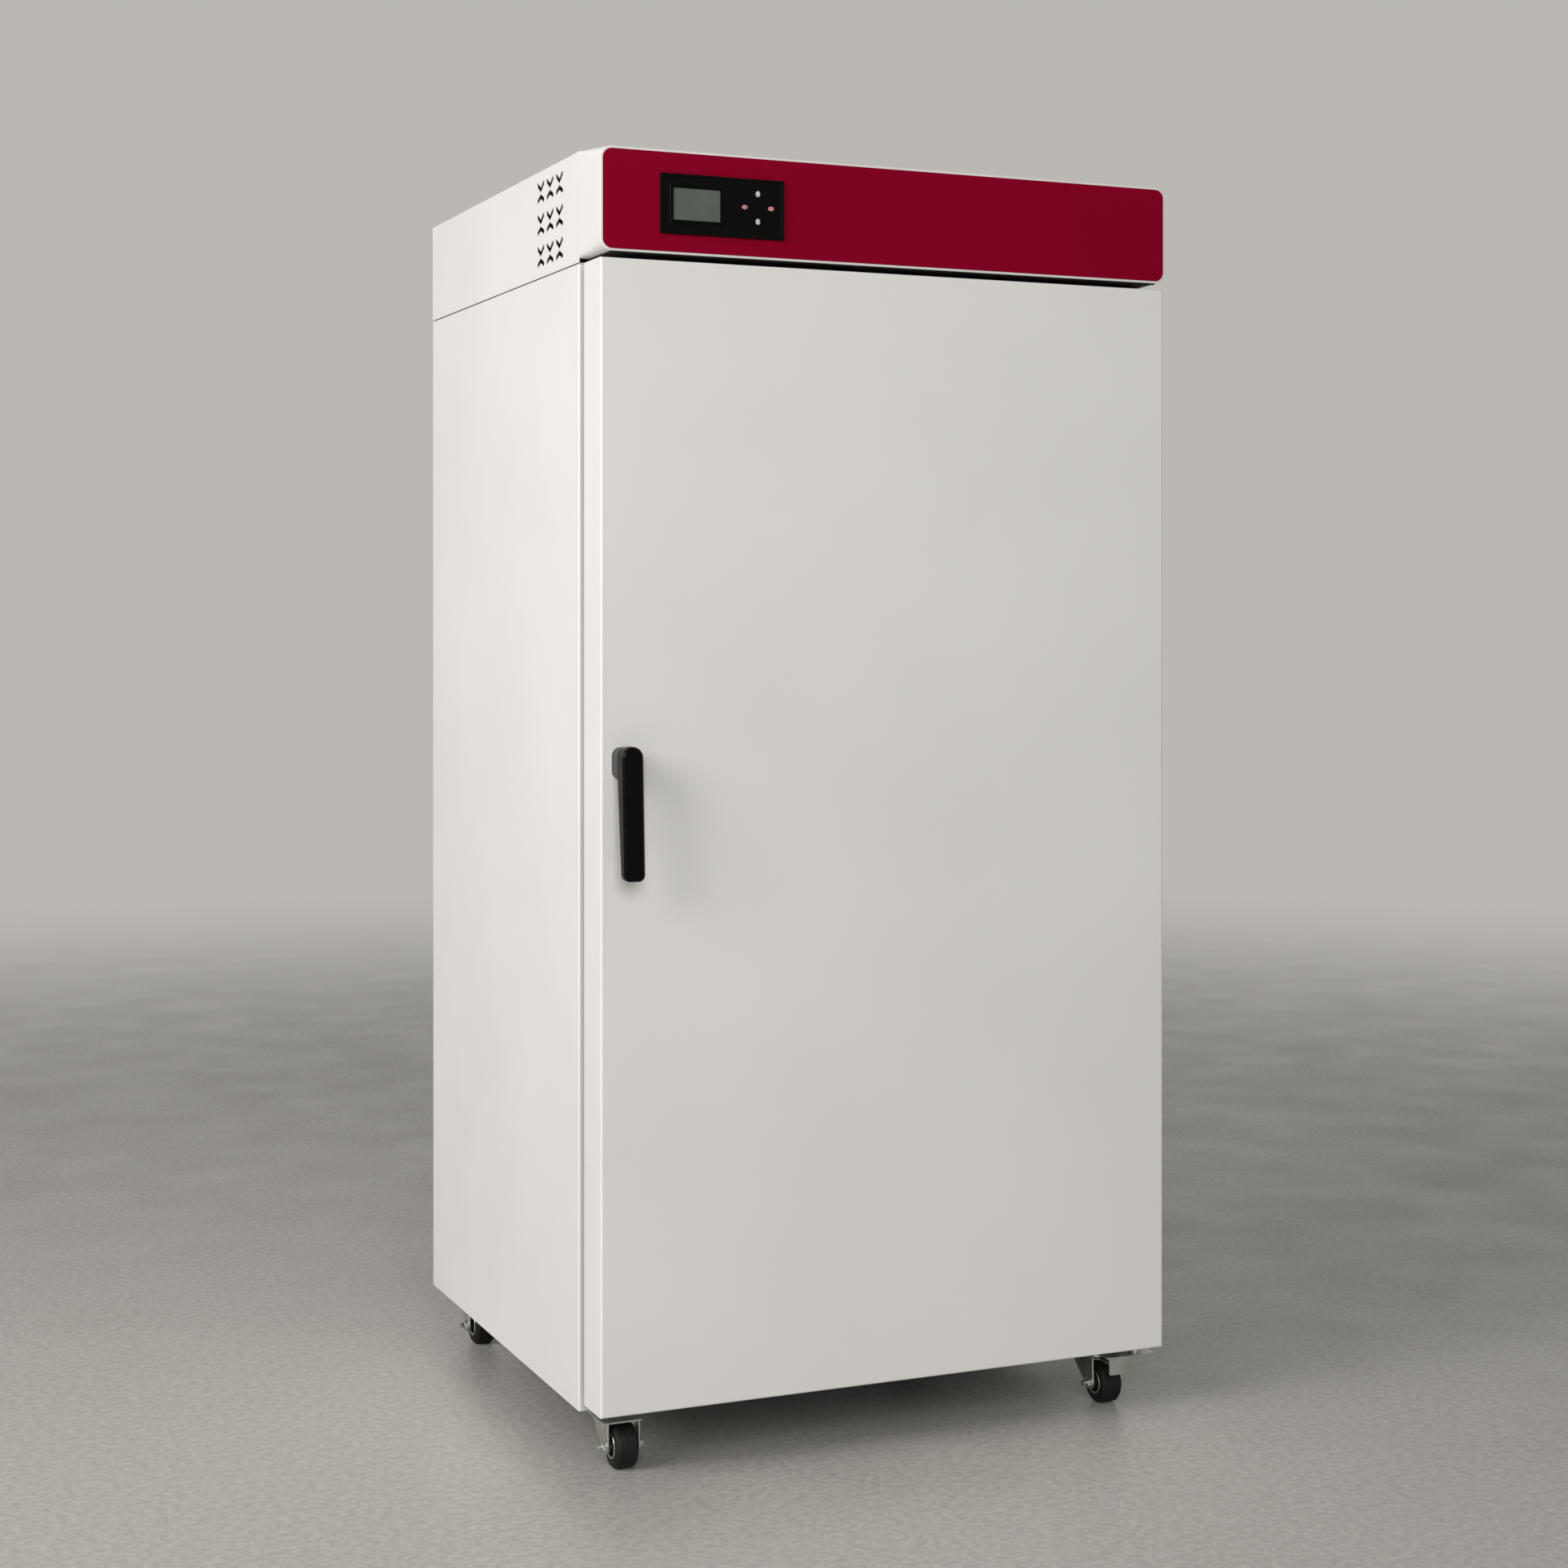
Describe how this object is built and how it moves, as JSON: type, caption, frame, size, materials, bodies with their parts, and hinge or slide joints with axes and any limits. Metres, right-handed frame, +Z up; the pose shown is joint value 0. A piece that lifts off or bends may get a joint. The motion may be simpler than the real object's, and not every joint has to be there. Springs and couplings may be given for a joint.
{
  "type": "dry heat sterilizer cabinet",
  "caption": "Tall hot-air sterilizer on casters: white cabinet with a full-height insulated door, turning latch handle, display in a coloured head band, and a shelved chamber.",
  "frame": {"origin": "on the floor, at the centre of the object's whole width and depth", "axes": "+Z up along the cabinet's height, -Y out of the front door, +X to the viewer's right"},
  "size_m": [0.808, 0.8304, 1.7065],
  "materials": {
    "white_coat": "satin powder coat",
    "grey_coat": "satin powder coat",
    "crimson_coat": "satin",
    "stainless": "brushed",
    "heater_steel": "matt, heat darkened",
    "zinc": "bright zinc plate",
    "dark_metal": "matt cast housing",
    "wool": "matt fibre",
    "silicone": "matt",
    "black_gloss": "gloss",
    "black_plastic": "matt",
    "screen_grey": "gloss",
    "board_green": "matt",
    "grey_boss": "matt",
    "brass_bush": "plain",
    "button_grey": "satin",
    "button_pink": "satin",
    "tyre_black": "matt",
    "hub_plastic": "matt"
  },
  "bodies": {
    "cabinet": {"air_baffle": "stainless", "base_tray": "grey_coat", "bottom_hinge_bracket": "zinc", "cable_gland": "black_plastic", "caster_brackets": "zinc", "caster_plates": "zinc", "chamber_liner": "stainless", "control_electronics": "board_green", "cover_screws": "zinc", "display_bezel": "black_gloss", "display_screen": "screen_grey", "door_gasket": "silicone", "exhaust_stub": "stainless", "fan_motor": "dark_metal", "fascia_panel": "crimson_coat", "front_frame": "grey_coat", "head_cover": "white_coat", "head_floor": "white_coat", "head_front_shell": "white_coat", "heating_element": "heater_steel", "insulation_slabs": "wool", "latch_keeper": "zinc", "left_side_panel": "white_coat", "liner_back_wall": "stainless", "rear_panel": "white_coat", "right_side_panel": "white_coat", "shelf_1": "stainless", "shelf_2": "stainless", "shelf_3": "stainless", "shelf_4": "stainless", "shelf_ladders": "stainless", "temperature_probe": "stainless", "top_hinge_bracket": "white_coat"},
    "door": {"door_outer_skin": "white_coat", "door_inner_panel": "stainless", "door_insulation": "wool", "door_hinge_bushes": "brass_bush", "handle_boss": "grey_boss"},
    "handle": {"handle_lever": "black_gloss", "latch_cam": "zinc"},
    "fan": {"fan_impeller": "stainless"},
    "damper": {"exhaust_damper": "stainless"},
    "key_up": {"button_up": "button_grey"},
    "key_down": {"button_down": "button_grey"},
    "key_left": {"button_left": "button_pink"},
    "key_right": {"button_right": "button_pink"},
    "swivel_front_left": {"caster_fork_front_left": "zinc"},
    "wheel_front_left": {"caster_hub_front_left": "hub_plastic", "caster_tyre_front_left": "tyre_black"},
    "swivel_front_right": {"caster_fork_front_right": "zinc"},
    "wheel_front_right": {"caster_hub_front_right": "hub_plastic", "caster_tyre_front_right": "tyre_black"},
    "swivel_rear_left": {"caster_fork_rear_left": "zinc"},
    "wheel_rear_left": {"caster_hub_rear_left": "hub_plastic", "caster_tyre_rear_left": "tyre_black"},
    "swivel_rear_right": {"caster_fork_rear_right": "zinc"},
    "wheel_rear_right": {"caster_hub_rear_right": "hub_plastic", "caster_tyre_rear_right": "tyre_black"},
    "pedal_front_right": {"brake_pedal_front_right": "zinc"},
    "pedal_rear_right": {"brake_pedal_rear_right": "zinc"}
  },
  "joints": [
    {"name": "door_hinge", "type": "hinge", "parent": "cabinet", "child": "door", "pos_m": [0.381, -0.33225, 0.8045], "axis": [0, 0, 1], "range_deg": [0, 120]},
    {"name": "handle_turn", "type": "hinge", "parent": "door", "child": "handle", "pos_m": [-0.3743, -0.36925, 0.9045], "axis": [0, -1, 0], "range_deg": [0, 90]},
    {"name": "press_up", "type": "slide", "parent": "cabinet", "child": "key_up", "axis": [0, 1, 0], "range_m": [0, 0.0007], "stiffness_N_per_m": 600, "springref_m": -0.0005},
    {"name": "press_down", "type": "slide", "parent": "cabinet", "child": "key_down", "axis": [0, 1, 0], "range_m": [0, 0.0007], "stiffness_N_per_m": 600, "springref_m": -0.0005},
    {"name": "press_left", "type": "slide", "parent": "cabinet", "child": "key_left", "axis": [0, 1, 0], "range_m": [0, 0.0007], "stiffness_N_per_m": 600, "springref_m": -0.0005},
    {"name": "press_right", "type": "slide", "parent": "cabinet", "child": "key_right", "axis": [0, 1, 0], "range_m": [0, 0.0007], "stiffness_N_per_m": 600, "springref_m": -0.0005},
    {"name": "fan_spin", "type": "hinge", "parent": "cabinet", "child": "fan", "pos_m": [0, 0.29475, 0.7995], "axis": [0, 1, 0], "continuous": true},
    {"name": "damper_turn", "type": "hinge", "parent": "cabinet", "child": "damper", "pos_m": [0, 0.18975, 1.6805], "axis": [1, 0, 0], "range_deg": [0, 90]},
    {"name": "swivel_front_left", "type": "hinge", "parent": "cabinet", "child": "swivel_front_left", "pos_m": [-0.351, -0.27675, 0.0657], "axis": [0, 0, 1], "continuous": true},
    {"name": "roll_front_left", "type": "hinge", "parent": "swivel_front_left", "child": "wheel_front_left", "pos_m": [-0.351, -0.29875, 0.0285], "axis": [1, 0, 0], "continuous": true},
    {"name": "swivel_front_right", "type": "hinge", "parent": "cabinet", "child": "swivel_front_right", "pos_m": [0.351, -0.27675, 0.0657], "axis": [0, 0, 1], "continuous": true},
    {"name": "roll_front_right", "type": "hinge", "parent": "swivel_front_right", "child": "wheel_front_right", "pos_m": [0.351, -0.29875, 0.0285], "axis": [1, 0, 0], "continuous": true},
    {"name": "swivel_rear_left", "type": "hinge", "parent": "cabinet", "child": "swivel_rear_left", "pos_m": [-0.351, 0.34175, 0.0657], "axis": [0, 0, 1], "continuous": true},
    {"name": "roll_rear_left", "type": "hinge", "parent": "swivel_rear_left", "child": "wheel_rear_left", "pos_m": [-0.351, 0.31975, 0.0285], "axis": [1, 0, 0], "continuous": true},
    {"name": "swivel_rear_right", "type": "hinge", "parent": "cabinet", "child": "swivel_rear_right", "pos_m": [0.351, 0.34175, 0.0657], "axis": [0, 0, 1], "continuous": true},
    {"name": "roll_rear_right", "type": "hinge", "parent": "swivel_rear_right", "child": "wheel_rear_right", "pos_m": [0.351, 0.31975, 0.0285], "axis": [1, 0, 0], "continuous": true},
    {"name": "brake_front_right", "type": "hinge", "parent": "swivel_front_right", "child": "pedal_front_right", "pos_m": [0.351, -0.30125, 0.0602], "axis": [1, 0, 0], "range_deg": [0, 18]},
    {"name": "brake_rear_right", "type": "hinge", "parent": "swivel_rear_right", "child": "pedal_rear_right", "pos_m": [0.351, 0.31725, 0.0602], "axis": [1, 0, 0], "range_deg": [0, 18]}
  ]
}
